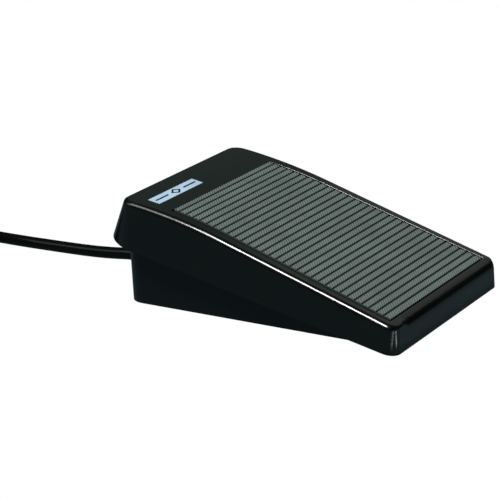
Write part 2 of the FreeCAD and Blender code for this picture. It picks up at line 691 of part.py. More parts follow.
def hinge():
    """The pin with its clips, and the flanged bushes in the treadle's lugs."""
    pin = rod("pin_blank", "X", "pin_radius", "-pin_half", "pin_half", "pin_y", "pin_z")
    clips, necks, bushes = [], [], []
    for side, name in ((1, "right"), (-1, "left")):
        span = sorted((f"{side} * clip_inner", f"{side} * (clip_inner + clip_thick)"), key=size)
        disc = rod(f"clip_disc_{name}", "X", "clip_radius", *span, "pin_y", "pin_z")
        bore = rod(f"clip_bore_{name}", "X", "pin_neck", *span, "pin_y", "pin_z")
        slot = box(f"clip_slot_{name}", span, ("pin_y - pin_neck", "pin_y + pin_neck"), ("pin_z", "pin_z + 5"))
        clips.append(cut(f"clip_{name}", disc, bore, slot))
        outside = rod(f"neck_outside_{name}", "X", "pin_radius + 1", *span, "pin_y", "pin_z")
        core = rod(f"neck_core_{name}", "X", "pin_neck", *span, "pin_y", "pin_z")
        necks.append(cut(f"neck_{name}", outside, core))
        ends = ("lug_inner", "lug_outer", "lug_outer + flange_thick")
        ends = [f"{side} * ({end})" for end in ends]
        barrel = rod(f"bush_barrel_{name}", "X", "bush_radius", *sorted(ends[:2], key=size), "pin_y", "pin_z")
        flange = rod(f"bush_flange_{name}", "X", "bush_flange", *sorted(ends[1:], key=size), "pin_y", "pin_z")
        whole = sorted((ends[0], ends[2]), key=size)
        hole = rod(f"bush_bore_{name}", "X", "bush_bore", *whole, "pin_y", "pin_z")
        bushes.append(cut(f"bush_{name}", fuse(f"bush_blank_{name}", barrel, flange), hole))
    node(cut("hinge_pin", pin, *necks), "hinge_pin")
    node(group("pin_clips", *clips), "pin_clips")
    node(group("hinge_bushes", *bushes), "hinge_bushes")


def extruded(name, sketch, length):
    made = doc.addObject("Part::Extrusion", name)
    made.Base = sketch
    made.DirMode = "Normal"
    made.Solid = True
    return bind(made, LengthFwd=length)


def base_outline(name, inset, height):
    sketch = doc.addObject("Sketcher::SketchObject", name)
    rounded_rectangle(
        sketch,
        f"-base_half + ({inset})",
        f"base_half - ({inset})",
        f"base_front + ({inset})",
        f"base_rear - ({inset})",
        f"base_corner - ({inset})",
        f"base_corner - ({inset})",
    )
    return at(sketch, z=height)


def screw_places():
    return [(x, y) for x in ("-screw_x", "screw_x") for y in ("screw_front", "screw_rear")]


def base_housing():
    """The moulded base: walls that rise into the treadle, a floor, and the posts on it."""
    blank = extruded("base_blank", base_outline("base_plan", "0", "base_low"), "base_overcut")
    side = doc.addObject("Sketcher::SketchObject", "base_side")
    fall = "(wall_rear_top - wall_front_top) / (base_rear - base_front)"
    corners = [("base_front - 5", "0"), ("base_rear + 5", "0")]
    corners.append(("base_rear + 5", f"wall_rear_top + 5 * {fall}"))
    corners.append(("base_front - 5", f"wall_front_top - 5 * {fall}"))
    polygon(side, corners)
    side.Placement.Rotation = UPRIGHT
    at(side, x="-base_half - 5")
    wedge = extruded("base_wedge", side, "2 * (base_half + 5)")
    outside = common("base_outside", blank, wedge)
    room = extruded("base_room", base_outline("room_plan", "base_wall", "floor_top"), "base_overcut")
    recess = extruded("plate_recess", base_outline("recess_plan", "plate_inset - 0.2", "0"), "floor_low")
    shell = cut("base_shell", outside, room, recess)
    posts, holes = [], []
    for i, (x, y) in enumerate(screw_places()):
        posts.append(rod(f"screw_boss_{i}", "Z", "boss_radius", "floor_top", "boss_top", x, y))
        holes.append(rod(f"screw_hole_{i}", "Z", "screw_radius", "floor_low", "screw_tip + 1", x, y))
    for sign, name in ((1, "right"), (-1, "left")):
        span = sorted((f"{sign} * post_inner", f"{sign} * post_outer"), key=size)
        posts.append(rod(f"pin_post_{name}", "X", "post_radius", *span, "pin_y", "pin_z"))
        foot = ("pin_y - post_radius", "pin_y + post_radius")
        posts.append(box(f"pin_foot_{name}", span, foot, ("floor_top", "pin_z")))
        x = f"{sign} * spring_x"
        pilot = ("floor_top", "floor_top + pilot_high")
        posts.append(rod(f"base_pilot_{name}", "Z", "pilot_radius", *pilot, x, "spring_y"))
        x = f"{sign} * bumper_x"
        posts.append(rod(f"bumper_post_{name}", "Z", "stop_post", "floor_top", "bumper_low", x, "bumper_y"))
        x = f"{sign} * strap_screw_x"
        middle = "(strap_front + strap_rear) / 2"
        posts.append(rod(f"strap_post_{name}", "Z", "strap_post", "floor_top", "strap_low", x, middle))
        holes.append(rod(f"strap_hole_{name}", "Z", "screw_radius", "strap_low - 8", "strap_low", x, middle))
        x = f"{sign} * clamp_screw_x"
        middle = "(clamp_front + clamp_rear) / 2"
        holes.append(rod(f"clamp_hole_{name}", "Z", "screw_radius", "floor_low", "floor_top", x, middle))
    for end in ("front", "rear"):
        place = ("bracket_screw_x", f"bracket_screw_{end}")
        holes.append(rod(f"bracket_hole_{end}", "Z", "screw_radius", "floor_low", "floor_top", *place))
    holes.append(rod("pin_hole", "X", "pin_radius", "-post_outer - 1", "post_outer + 1", "pin_y", "pin_z"))
    wall = ("base_rear - base_wall - 1", "base_rear + 1")
    holes.append(rod("boot_hole", "Y", "boot_neck", *wall, "0", "cord_z"))
    flange = ("base_rear - base_wall - boot_flange_thick", "base_rear - base_wall")
    holes.append(rod("flange_room", "Y", "boot_flange", *flange, "0", "cord_z"))
    joined = fuse("base_joined", shell, *posts)
    return node(cut("base_housing", joined, *holes), "base_housing")


def bottom_plate():
    """The steel floor plate, with countersunk holes for its screws and holes for the feet."""
    body = doc.addObject("PartDesign::Body", "floor_sheet")
    outline = body_sketch(body, "XY_Plane", "plate_outline")
    edge = "plate_inset"
    rounded_rectangle(
        outline,
        f"-base_half + {edge}",
        f"base_half - {edge}",
        f"base_front + {edge}",
        f"base_rear - {edge}",
        f"base_corner - {edge}",
        f"base_corner - {edge}",
    )
    pad(body, outline, "floor_low - base_low", "plate")
    stems = body_sketch(body, "XY_Plane", "foot_holes")
    circles(stems, [(x, y, "foot_stem") for x, y in foot_places()])
    pocket_through(body, stems, "foot_pocket")
    at(body, z="base_low")
    sinks = []
    for i, (x, y) in enumerate(screw_places()):
        sinks.append(taper(f"sink_{i}", "Z", "screw_head", "screw_radius", "base_low", "floor_low", x, y))
    return node(cut("plate_drilled", body, *sinks), "bottom_plate")


def foot_places():
    return [(x, y) for x in ("-foot_x", "foot_x") for y in ("foot_front", "foot_rear")]


def rubber_feet():
    """Four turned rubber feet, their stems in the steel plate."""
    feet = []
    for i, (x, y) in enumerate(foot_places()):
        pad_low = taper(f"foot_pad_{i}", "Z", "foot_radius - 1", "foot_radius", "0", "base_low", x, y)
        stem = rod(f"foot_stem_{i}", "Z", "foot_stem", "base_low", "floor_low", x, y)
        feet.append(fuse(f"foot_{i}", pad_low, stem))
    node(group("rubber_feet", *feet), "rubber_feet")


def bottom_screws():
    screws = []
    for i, (x, y) in enumerate(screw_places()):
        head = taper(f"bottom_head_{i}", "Z", "screw_head", "screw_radius", "base_low", "floor_low", x, y)
        shank = rod(f"bottom_shank_{i}", "Z", "screw_radius", "floor_low", "screw_tip", x, y)
        screws.append(fuse(f"bottom_screw_{i}", head, shank))
    node(group("bottom_screws", *screws), "bottom_screws")


def pan_screw(name, x, y, seat, tip, up=True):
    """A pan-head screw: its head sits on seat, and its shank runs to tip."""
    if up:
        head = rod(name + "_head", "Z", "small_head", seat, f"{seat} + small_head_high", x, y)
        shank = rod(name + "_shank", "Z", "screw_radius", tip, seat, x, y)
    else:
        head = rod(name + "_head", "Z", "small_head", f"{seat} - small_head_high", seat, x, y)
        shank = rod(name + "_shank", "Z", "screw_radius", seat, tip, x, y)
    return fuse(name, head, shank)


def down_stops():
    bumpers = []
    for sign in (1, -1):
        x = f"{sign} * bumper_x"
        rim = rod(f"bumper_low_{sign + 1}", "Z", "bumper_radius", "bumper_low", "bumper_top - 1", x, "bumper_y")
        cap = taper(
            f"bumper_cap_{sign + 1}", "Z", "bumper_radius", "bumper_radius - 1",
            "bumper_top - 1", "bumper_top", x, "bumper_y",
        )
        bumpers.append(fuse(f"bumper_{sign + 1}", rim, cap))
    node(group("down_stop_bumpers", *bumpers), "down_stop_bumpers")


def up_stop():
    """The stop plate on two posts of the base, and the treadle's hook and felt pad under it."""
    body = doc.addObject("PartDesign::Body", "strap_sheet")
    outline = body_sketch(body, "XY_Plane", "strap_outline")
    rounded_rectangle(outline, "-strap_half", "strap_half", "strap_front", "strap_rear", "3", "3")
    pad(body, outline, "strap_thick", "strap")
    middle = "(strap_front + strap_rear) / 2"
    drilled = body_sketch(body, "XY_Plane", "strap_holes")
    circles(drilled, [(f"{sign} * strap_screw_x", middle, "screw_radius") for sign in (1, -1)])
    pocket_through(body, drilled, "strap_pocket")
    at(body, z="strap_low")
    node(body, "stop_plate")
    seat = "strap_low + strap_thick"
    screws = [
        pan_screw(f"strap_screw_{sign + 1}", f"{sign} * strap_screw_x", middle, seat, "strap_low - 8")
        for sign in (1, -1)
    ]
    node(group("stop_plate_screws", *screws), "stop_plate_screws")
    width = ("-hook_half", "hook_half")
    flange = box("hook_flange", width, ("hook_front", "hook_web + hook_thick"), ("hook_top - hook_thick", "hook_top"))
    web = box("hook_web", width, ("hook_web", "hook_web + hook_thick"), ("hook_low", "hook_top"))
    foot = box("hook_foot", width, ("hook_web", "hook_rear"), ("hook_low", "hook_low + hook_thick"))
    holes = [
        rod(f"hook_drill_{sign + 1}", "Z", "screw_radius", "hook_top - 3", "hook_top + 1",
            f"{sign} * hook_screw_x", "hook_screw_y")
        for sign in (1, -1)
    ]
    node(cut("hook_drilled", fuse("hook_bent", flange, web, foot), *holes), "stop_hook")
    seat = "(hook_top - hook_thick)"
    screws = [
        pan_screw(f"hook_screw_{sign + 1}", f"{sign} * hook_screw_x", "hook_screw_y", seat, "hook_top + 5", False)
        for sign in (1, -1)
    ]
    node(group("stop_hook_screws", *screws), "stop_hook_screws")
    pad_span = ("-hook_half + 1", "hook_half - 1")
    felt = box("stop_pad", pad_span, ("pad_front", "hook_rear - 0.5"), ("hook_low + hook_thick", "pad_top"))
    node(felt, "stop_pad")


def switch_bracket():
    """A pressed steel angle: its web stands between the switches."""
    body = doc.addObject("PartDesign::Body", "bracket_angle")
    profile = body_sketch(body, "XZ_Plane", "bracket_profile")
    top = "floor_top + bracket_sheet"
    polygon(
        profile,
        [
            ("-web_half", "floor_top"),
            ("bracket_foot", "floor_top"),
            ("bracket_foot", top),
            ("web_half", top),
            ("web_half", "web_top"),
            ("-web_half", "web_top"),
        ],
    )
    angle = pad(body, profile, "web_rear - web_front", "angle")
    angle.Reversed = True
    at(body, y="web_front")
    doc.recompute()
    if body.Shape.BoundBox.YMax < size("web_rear") - 0.1:
        angle.Reversed = False
    holes = []
    for end in ("front", "rear"):
        place = ("bracket_screw_x", f"bracket_screw_{end}")
        holes.append(rod(f"foot_drill_{end}", "Z", "screw_radius", "floor_top - 1", f"{top} + 1", *place))
        place = (f"switch_hole_{end}", "switch_hole_z")
        holes.append(rod(f"web_drill_{end}", "X", "long_screw", "-web_half - 1", "web_half + 1", *place))
    node(cut("bracket_drilled", body, *holes), "switch_bracket")
    screws = [
        pan_screw(f"bracket_screw_{end}", "bracket_screw_x", f"bracket_screw_{end}", f"({top})", "floor_low")
        for end in ("front", "rear")
    ]
    node(group("bracket_screws", *screws), "bracket_screws")


def snap_switch(label, sign):
    """One snap-action switch: its case, terminals, plunger and lever."""
    middle = f"{sign} * (web_half + switch_thick / 2)"
    width = sorted((f"{sign} * web_half", f"{sign} * (web_half + switch_thick)"), key=size)
    case = box(label + "_case", width, ("switch_front", "switch_rear"), ("switch_low", "switch_top"))
    ears = []
    for side in (1, -1):
        faces = [f"{middle} + {side} * ear_inner", f"{middle} + {side} * (ear_inner + ear_thick)"]
        faces.sort(key=size)
        height = ("switch_top", "ear_top")
        ears.append(box(f"{label}_ear_{side + 1}", faces, ("pivot_y - 1.4", "pivot_y + 1.4"), height))
    holes = [rod(label + "_well", "Z", "plunger_bore", "plunger_floor", "switch_top + 1", middle, "plunger_y")]
    reach = (f"{middle} - pivot_half - 1", f"{middle} + pivot_half + 1")
    holes.append(rod(label + "_ear_bore", "X", "pivot_bore", *reach, "pivot_y", "pivot_z"))
    for end in ("front", "rear"):
        place = (f"switch_hole_{end}", "switch_hole_z")
        holes.append(rod(f"{label}_hole_{end}", "X", "switch_hole", f"{width[0]} - 1", f"{width[1]} + 1", *place))
    node(cut(label + "_body_cut", fuse(label + "_body_whole", case, *ears), *holes), label + "_body")
    blades = []
    for i in range(3):
        z = f"blade_low + {i} * blade_step"
        faces = (f"{middle} - blade_thick / 2", f"{middle} + blade_thick / 2")
        blades.append(box(f"{label}_blade_{i}", faces, ("blade_tip", "switch_front"),
                          (f"{z} - blade_half", f"{z} + blade_half")))
    node(group(label + "_terminals", *blades), label + "_terminals")
    plunger = rod(label + "_plunger", "Z", "plunger_radius", "plunger_low", "plunger_top", middle, "plunger_y")
    node(plunger, label + "_plunger")
    strip = doc.addObject("Part::Box", label + "_strip")
    bind(strip, Length="2 * lever_half", Width="lever_run", Height="lever_thick")
    pivot = FreeCAD.Vector(size(middle), size("pivot_y"), size("pivot_z"))
    turned = FreeCAD.Placement(pivot, FreeCAD.Rotation(X, size("lever_rise")))
    corner = FreeCAD.Vector(-size("lever_half"), 0, -size("lever_thick") / 2)
    strip.Placement = turned * FreeCAD.Placement(corner, FreeCAD.Rotation())
    reach = (f"{middle} - pivot_half", f"{middle} + pivot_half")
    pin = rod(label + "_lever_pin", "X", "pivot_radius", *reach, "pivot_y", "pivot_z")
    node(fuse(label + "_lever_joined", strip, pin), label + "_lever")


def switch_fixings():
    """Two screws through both switches and the bracket, with their nuts."""
    screws, nuts = [], []
    case = "(web_half + switch_thick)"
    for end in ("front", "rear"):
        place = (f"switch_hole_{end}", "switch_hole_z")
        shank = rod(f"long_shank_{end}", "X", "long_screw", "-long_screw_half", case, *place)
        head = rod(f"long_head_{end}", "X", "small_head", case, f"{case} + small_head_high", *place)
        screws.append(fuse(f"long_screw_{end}", shank, head))
        nuts.append(hex_nut(f"nut_{end}", f"-{case} - nut_thick", place, "long_screw", ALONG_X))
    node(group("switch_screws", *screws), "switch_screws")
    node(group("switch_nuts", *nuts), "switch_nuts")


def hex_nut(name, start, place, bore, turn):
    """A hexagon nut on a screw: along X from start, or standing on Z from start."""
    blank = doc.addObject("Part::Prism", name + "_blank")
    blank.Polygon = 6
    bind(blank, Circumradius="nut_radius", Height="nut_thick")
    blank.Placement.Rotation = turn
    if turn == ALONG_X:
        at(blank, start, *place)
        hole = rod(name + "_bore", "X", bore, start, f"{start} + nut_thick", *place)
    else:
        at(blank, *place, start)
        hole = rod(name + "_bore", "Z", bore, start, f"{start} + nut_thick", *place)
    return cut(name, blank, hole)


def actuators():
    """The adjusting screws under the treadle, whose points push the switch levers."""
    screws, nuts = [], []
    for sign, name in ((1, "right"), (-1, "left")):
        place = (f"{sign} * (web_half + switch_thick / 2)", "push_y")
        neck = "push_tip + push_cone"
        point = taper(f"push_point_{name}", "Z", "push_point", "push_radius", "push_tip", neck, *place)
        shank = rod(f"push_shank_{name}", "Z", "push_radius", neck, "push_head", *place)
        screws.append(fuse(f"push_screw_{name}", point, shank))
        nuts.append(hex_nut(f"push_nut_{name}", "push_boss_low - nut_thick", place, "push_radius",
                            FreeCAD.Rotation()))
    node(group("actuator_screws", *screws), "actuator_screws")
    node(group("actuator_nuts", *nuts), "actuator_nuts")


def cord_entry():
    """The moulded boot in the rear wall, the lead inside and its clamp."""
    wall = ("base_rear - base_wall", "base_rear")
    flange = ("base_rear - base_wall - boot_flange_thick", "base_rear - base_wall")
    end = "base_rear + boot_run"
    pieces = [
        rod("boot_neck", "Y", "boot_neck", *wall, "0", "cord_z"),
        rod("boot_lip", "Y", "boot_flange", *flange, "0", "cord_z"),
        taper("boot_taper", "Y", "boot_root", "boot_end", "base_rear", end, "0", "cord_z"),
    ]
    for i in range(4):
        y = f"(base_rear + boot_run * {i + 1} / 5)"
        collar = f"boot_root - (boot_root - boot_end) * {i + 1} / 5 + ring_radius"
        pieces.append(rod(f"boot_ring_{i}", "Y", collar, f"{y} - 0.9", f"{y} + 0.9", "0", "cord_z"))
    node(fuse("boot_moulded", *pieces), "cord_boot")
    node(rod("inner_cord", "Y", "cord_radius", "inner_cord_end", flange[0], "0", "cord_z"), "inner_cord")
    saddle = box("clamp_block", ("-clamp_half", "clamp_half"), ("clamp_front", "clamp_rear"), ("floor_top", "clamp_top"))
    middle = "(clamp_front + clamp_rear) / 2"
    across, along = ("-cord_radius", "cord_radius"), ("clamp_front", "clamp_rear")
    holes = [
        rod("clamp_bore", "Y", "cord_radius", *along, "0", "cord_z"),
        box("clamp_mouth", across, along, ("floor_top", "cord_z")),
    ]
    for sign in (1, -1):
        place = (f"{sign} * clamp_screw_x", middle)
        holes.append(rod(f"clamp_drill_{sign + 1}", "Z", "screw_radius", "floor_top", "clamp_top", *place))
    node(cut("clamp_drilled", saddle, *holes), "cord_clamp")
    screws = [
        pan_screw(f"clamp_screw_{sign + 1}", f"{sign} * clamp_screw_x", middle, "clamp_top", "floor_low")
        for sign in (1, -1)
    ]
    node(group("clamp_screws", *screws), "clamp_screws")


def arc_path(points, radii):
    """A wire of straight runs joined by tangent arcs, one at each inner point of the route."""
    edges = []
    here = points[0]
    for i in range(1, len(points) - 1):
        corner = points[i]
        back = (points[i - 1] - corner).normalize()
        on = (points[i + 1] - corner).normalize()
        half_turn = (math.pi - back.getAngle(on)) / 2
        reach = radii[i - 1] * math.tan(half_turn)
        start = corner + back * reach
        end = corner + on * reach
        inward = (back + on).normalize()
        middle = corner + inward * (radii[i - 1] / math.cos(half_turn) - radii[i - 1])
        edges.append(Part.LineSegment(here, start).toShape())
        edges.append(Part.Arc(start, middle, end).toShape())
        here = end
    edges.append(Part.LineSegment(here, points[-1]).toShape())
    return Part.Wire(edges)


def route_radii(points):
    """Each arc's radius: 0.45 of the shorter run beside it, over the tangent of half the turn."""
    radii = []
    for i in range(1, len(points) - 1):
        back = points[i] - points[i - 1]
        on = points[i + 1] - points[i]
        half_turn = back.getAngle(on) / 2
        radii.append(0.45 * min(back.Length, on.Length) / math.tan(half_turn))
    return radii


def tube(label, points, radius):
    """A round tube along a route of straight runs and arcs, checked against section times length."""
    radii = route_radii(points)
    path = arc_path(points, radii)
    section = Part.Wire([Part.Edge(Part.Circle(points[0], points[1] - points[0], radius))])
    made = doc.addObject("Part::Feature", label)
    made.Shape = path.makePipeShell([section], True, True)
    expected = math.pi * radius**2 * path.Length
    print(label, "length", round(path.Length, 1), "radii", sorted({round(r, 1) for r in radii}))
    print(label, "volume over section x length", round(made.Shape.Volume / expected, 4))
    return node(made, label)


def return_spring(label, x):
    """A compression spring with closed ends, between the base's floor and the treadle's seat."""
    wire, radius = size("spring_wire"), size("spring_radius")
    low, high = size("floor_top + spring_wire"), size("spring_top - spring_wire")
    close, turns, steps = size("spring_close"), size("spring_turns"), int(size("spring_steps"))
    middle = FreeCAD.Vector(size(x), size("spring_y"), 0)
    points = []
    for i in range(int(turns * steps) + 1):
        turn = i / steps
        left = min(turn, turns - turn, 1.0)
        rise = (high - low - 2 * close) * (turn - 1) / (turns - 2) + close
        z = low + close * left if turn <= 1 else low + rise
        if turn > turns - 1:
            z = high - close * left
        angle = 2 * math.pi * turn
        points.append(middle + FreeCAD.Vector(radius * math.cos(angle), radius * math.sin(angle), z))
    return tube(label, points, wire)


def wires():
    """Four insulated wires from the lead to the switches' terminals, along the floor."""
    radius = size("wire_radius")
    start, tip = size("inner_cord_end"), size("blade_tip")
    middle = size("web_half + switch_thick / 2")
    low, step = size("blade_low"), size("blade_step")

    def inside(label, offset, level, lane, rise, target):
        side = math.copysign(1, lane)
        tube(label, [
            FreeCAD.Vector(offset, start, level),
            FreeCAD.Vector(offset, start - 5, level),
            FreeCAD.Vector(offset + side * 8, start - 10, (level + rise) / 2),
            FreeCAD.Vector(lane, start - 17, rise),
            FreeCAD.Vector(lane + side, 0, rise + 1),
            FreeCAD.Vector(lane, tip - 1, rise),
            FreeCAD.Vector(lane - side * 6, tip - 8, (rise + target) / 2),
            FreeCAD.Vector(side * middle, tip - 7, target),
            FreeCAD.Vector(side * middle, tip, target),
        ], radius)

    z = size("cord_z")
    top = low + 2 * step
    inside("play_wire", 1.3, z - 0.8, 23, 9, low)
    inside("rewind_wire", -1.3, z - 0.8, -18, 9, low)
    inside("common_wire", 0.0, z + 1.3, 27, 14, top)
    tube("jumper_wire", [
        FreeCAD.Vector(middle, tip, low + step),
        FreeCAD.Vector(middle, tip - 5, low + step),
        FreeCAD.Vector(0, tip - 9, (low + step + top) / 2),
        FreeCAD.Vector(-middle, tip - 5, top),
        FreeCAD.Vector(-middle, tip, top),
    ], radius)


def lead():
    """The lead's free run, and the coil that holds the rest of its length."""
    route = [
        (0.0, 92.2, 9.0),
        (0.0, 99.0, 9.0),
        (0.5, 109.0, 7.6),
        (1.6, 125.0, 6.1),
        (3.4, 147.0, 4.9),
        (5.8, 176.0, 3.5),
        (7.5, 207.0, 3.05),
    ]
    tube("cord", [FreeCAD.Vector(*point) for point in route], size("cord_radius"))
    place = ("coil_x", "coil_y")
    whole = rod("coil_whole", "Z", "coil_outer", "0", "coil_high", *place)
    eye = rod("coil_eye", "Z", "coil_inner", "-1", "coil_high + 1", *place)
    ring = cut("coil_ring", whole, eye)
    doc.recompute()
    rounded = doc.addObject("Part::Fillet", "coil_rounded")
    rounded.Base = ring
    rims = [i for i, edge in enumerate(ring.Shape.Edges, start=1) if edge.Length > 50]
    rounded.Edges = [(number, size("cord_radius") * 0.9, size("cord_radius") * 0.9) for number in rims]
    node(rounded, "cord_coil")


def plug():
    """A small three-contact jack plug that lies along the coil's top, its tip towards +Y."""
    x, z = "coil_x + plug_offset", "coil_high + plug_radius"
    ends = ["coil_y - plug_start"]
    runs = ["plug_tail_run", "plug_grip_run - plug_tail_run", "sleeve_run"]
    runs += ["insulator_run", "ring_run", "insulator_run", "tip_run / 3", "tip_run / 6", "tip_run / 2"]
    for run in runs:
        ends.append(f"{ends[-1]} + {run}")

    def turned(name, place, radius, far_radius=None):
        span = (ends[place], ends[place + 1])
        if far_radius is None:
            return rod(name, "Y", radius, *span, x, z)
        return taper(name, "Y", radius, far_radius, *span, x, z)

    tail = turned("plug_tail", 0, "plug_tail", "plug_radius")
    grip = turned("plug_grip_round", 1, "plug_radius")
    node(fuse("plug_grip_moulded", tail, grip), "plug_grip")
    node(turned("sleeve_contact", 2, "barrel_radius"), "plug_sleeve")
    node(turned("ring_contact", 4, "barrel_radius"), "plug_ring")
    rings = [turned("insulator_near", 3, "barrel_radius"), turned("insulator_far", 5, "barrel_radius")]
    node(group("insulator_pair", *rings), "plug_insulators")
    neck = turned("tip_neck", 6, "barrel_radius", "barrel_radius * tip_waist")
    swell = turned("tip_swell", 7, "barrel_radius * tip_waist", "barrel_radius")
    point = turned("tip_point", 8, "barrel_radius", "tip_point")
    node(fuse("plug_tip_turned", neck, swell, point), "plug_tip")


def build():
    mat_blank = sheet_on_top("mat_blank", mat_outline(), "mat_proud", "mat_sunk")
    label = sheet_on_top("label_blank", label_outline(), "label_proud", "label_sunk")
    treadle_cover(label)
    tread_mat(mat_blank)
    node(label, "label_plate")
    hinge()
    base_housing()
    bottom_plate()
    rubber_feet()
    bottom_screws()
    return_spring("return_spring_left", "-spring_x")
    return_spring("return_spring_right", "spring_x")
    down_stops()
    up_stop()
    switch_bracket()
    snap_switch("play_switch", 1)
    snap_switch("rewind_switch", -1)
    switch_fixings()
    actuators()
    cord_entry()
    wires()
    lead()
    plug()


def check():
    """Stops if an object failed or a sub-part's shape isn't a sound solid."""
    for thing in doc.Objects:
        bad = [state for state in thing.State if state in ("Invalid", "Error")]
        if bad:
            raise RuntimeError(f"{thing.Name} is {bad}")
    for thing in nodes:
        shape = thing.Shape
        if shape.isNull() or not shape.isValid() or not shape.Solids:
            raise RuntimeError(f"{thing.Label} has no sound solid")


def write():
    os.makedirs("parts", exist_ok=True)
    for thing in nodes:
        thing.Shape.exportStep(f"parts/{thing.Label}.step")


build()
doc.recompute()
check()
write()
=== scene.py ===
import json
import math

import bmesh
import bpy
from mathutils import Matrix, Vector


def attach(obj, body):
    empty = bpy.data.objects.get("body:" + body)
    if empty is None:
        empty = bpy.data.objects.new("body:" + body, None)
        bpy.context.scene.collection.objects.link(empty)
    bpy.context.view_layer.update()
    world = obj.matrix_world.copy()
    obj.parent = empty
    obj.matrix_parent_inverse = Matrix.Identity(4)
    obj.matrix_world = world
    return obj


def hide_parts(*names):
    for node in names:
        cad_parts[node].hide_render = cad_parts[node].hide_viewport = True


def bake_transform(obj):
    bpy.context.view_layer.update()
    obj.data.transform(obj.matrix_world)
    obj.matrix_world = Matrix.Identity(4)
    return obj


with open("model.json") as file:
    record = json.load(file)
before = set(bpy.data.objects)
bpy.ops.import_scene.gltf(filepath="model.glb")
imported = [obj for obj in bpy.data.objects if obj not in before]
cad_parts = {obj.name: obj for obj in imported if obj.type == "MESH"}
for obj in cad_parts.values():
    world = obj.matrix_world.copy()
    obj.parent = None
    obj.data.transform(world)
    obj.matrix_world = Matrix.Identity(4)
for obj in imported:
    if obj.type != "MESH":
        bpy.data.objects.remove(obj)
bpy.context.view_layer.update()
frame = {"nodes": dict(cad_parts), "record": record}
nodes = frame["nodes"]
MM = 0.001


# ---- camera ----

CAMERA_AT = (-0.7795, -0.4849, 0.3383)
AZIMUTH = math.radians(-56.67)
ELEVATION = math.radians(18.79)
ROLL = math.radians(-3.0)
SENSOR = 36.0
FOCAL = 147.276
CLIP_NEAR, CLIP_FAR = 0.01, 20


def make_camera():
    """The camera at the viewing angle, tipped a little by its roll."""
    back = Vector((
        math.sin(AZIMUTH) * math.cos(ELEVATION),
        -math.cos(AZIMUTH) * math.cos(ELEVATION),
        math.sin(ELEVATION),
    ))
    level = (-back).cross(Vector((0, 0, 1))).normalized()
    upright = level.cross(-back)
    right = level * math.cos(ROLL) + upright * math.sin(ROLL)
    up = upright * math.cos(ROLL) - level * math.sin(ROLL)
    lens = bpy.data.cameras.new("camera")
    lens.sensor_width = SENSOR
    lens.lens = FOCAL
    lens.clip_start = CLIP_NEAR
    lens.clip_end = CLIP_FAR
    camera = bpy.data.objects.new("camera", lens)
    bpy.context.scene.collection.objects.link(camera)
    camera.matrix_world = Matrix((
        (right.x, up.x, back.x, CAMERA_AT[0]),
        (right.y, up.y, back.y, CAMERA_AT[1]),
        (right.z, up.z, back.z, CAMERA_AT[2]),
        (0, 0, 0, 1),
    ))
    bpy.context.scene.camera = camera


# ---- materials ----


class Shader:
    """A node material, built up in a few lines."""

    def __init__(self, name, colour, roughness, **inputs):
        self.material = bpy.data.materials.new(name)
        self.material.use_nodes = True
        self.tree = self.material.node_tree
        self.surface = self.tree.nodes["Principled BSDF"]
        self.set(self.surface, base_color=(*colour, 1), roughness=roughness, **inputs)
        self.place = self.add("ShaderNodeTexCoord").outputs["Object"]

    def add(self, kind, **settings):
        made = self.tree.nodes.new(kind)
        for key, value in settings.items():
            setattr(made, key, value)
        return made

    def set(self, node, **inputs):
        """Sets a node's inputs by name, to a value or from another node's output."""
        for key, value in inputs.items():
            socket = node.inputs[key.replace("_", " ").title().replace("Ior", "IOR")]
            if isinstance(value, bpy.types.NodeSocket):
                self.tree.links.new(value, socket)
            else:
                socket.default_value = value

    def noise(self, scale, detail=2.0, rough=0.5, place=None):
        """A grain of so many lumps to the metre."""
        made = self.add("ShaderNodeTexNoise")
        self.set(made, vector=place or self.place, scale=scale, detail=detail, roughness=rough)
        return made.outputs["Fac"]

    def stretched(self, x, y, z):
        """The place on the object with its axes scaled, for streaks."""
        made = self.add("ShaderNodeMapping")
        self.set(made, vector=self.place, scale=(x, y, z))
        return made.outputs["Vector"]

    def spread(self, value, low, high, out_low, out_high):
        """A value mapped from one range to another."""
        made = self.add("ShaderNodeMapRange")
        self.set(made, value=value, from_min=low, from_max=high, to_min=out_low, to_max=out_high)
        return made.outputs["Result"]

    def ramp(self, value, *stops):
        """Two colours, each at its position along a value from 0 to 1."""
        made = self.add("ShaderNodeValToRGB")
        self.set(made, fac=value)
        for element, (position, colour) in zip(made.color_ramp.elements, stops):
            element.position, element.color = position, (*colour, 1)
        return made.outputs["Color"]

    def attribute(self, name):
        return self.add("ShaderNodeAttribute", attribute_name=name).outputs["Fac"]

    def blend(self, factor, low, high):
        """A colour between two, which may be colours or sockets."""
        made = self.add("ShaderNodeMix", data_type="RGBA")
        for key, value in (("Factor", factor), ("A", low), ("B", high)):
            if isinstance(value, bpy.types.NodeSocket):
                self.tree.links.new(value, made.inputs[key])
            else:
                made.inputs[key].default_value = (*value, 1)
        return made.outputs["Result"]

    def bump(self, height, distance, strength):
        made = self.add("ShaderNodeBump")
        self.set(made, height=height, distance=distance, strength=strength)
        return made.outputs["Normal"]


def shade(value, tint):
    return tuple(value * c for c in tint)


def moulded_plastic(name, value, tint, roughness, grain, depth=0.00002):
    """Black moulded plastic: a fine even grain, slight mottling of its colour and of its shine."""
    made = Shader(name, shade(value, tint), roughness)
    fine = made.noise(grain, 2, 0.6)
    cloudy = made.noise(45, 3, 0.6)
    colour = made.ramp(cloudy, (0.3, shade(value * 0.88, tint)), (0.7, shade(value * 1.12, tint)))
    made.set(made.surface, base_color=colour)
    shine = made.spread(cloudy, 0.3, 0.7, roughness - 0.03, roughness + 0.04)
    made.set(made.surface, roughness=shine, normal=made.bump(fine, depth, 0.5))
    return made.material


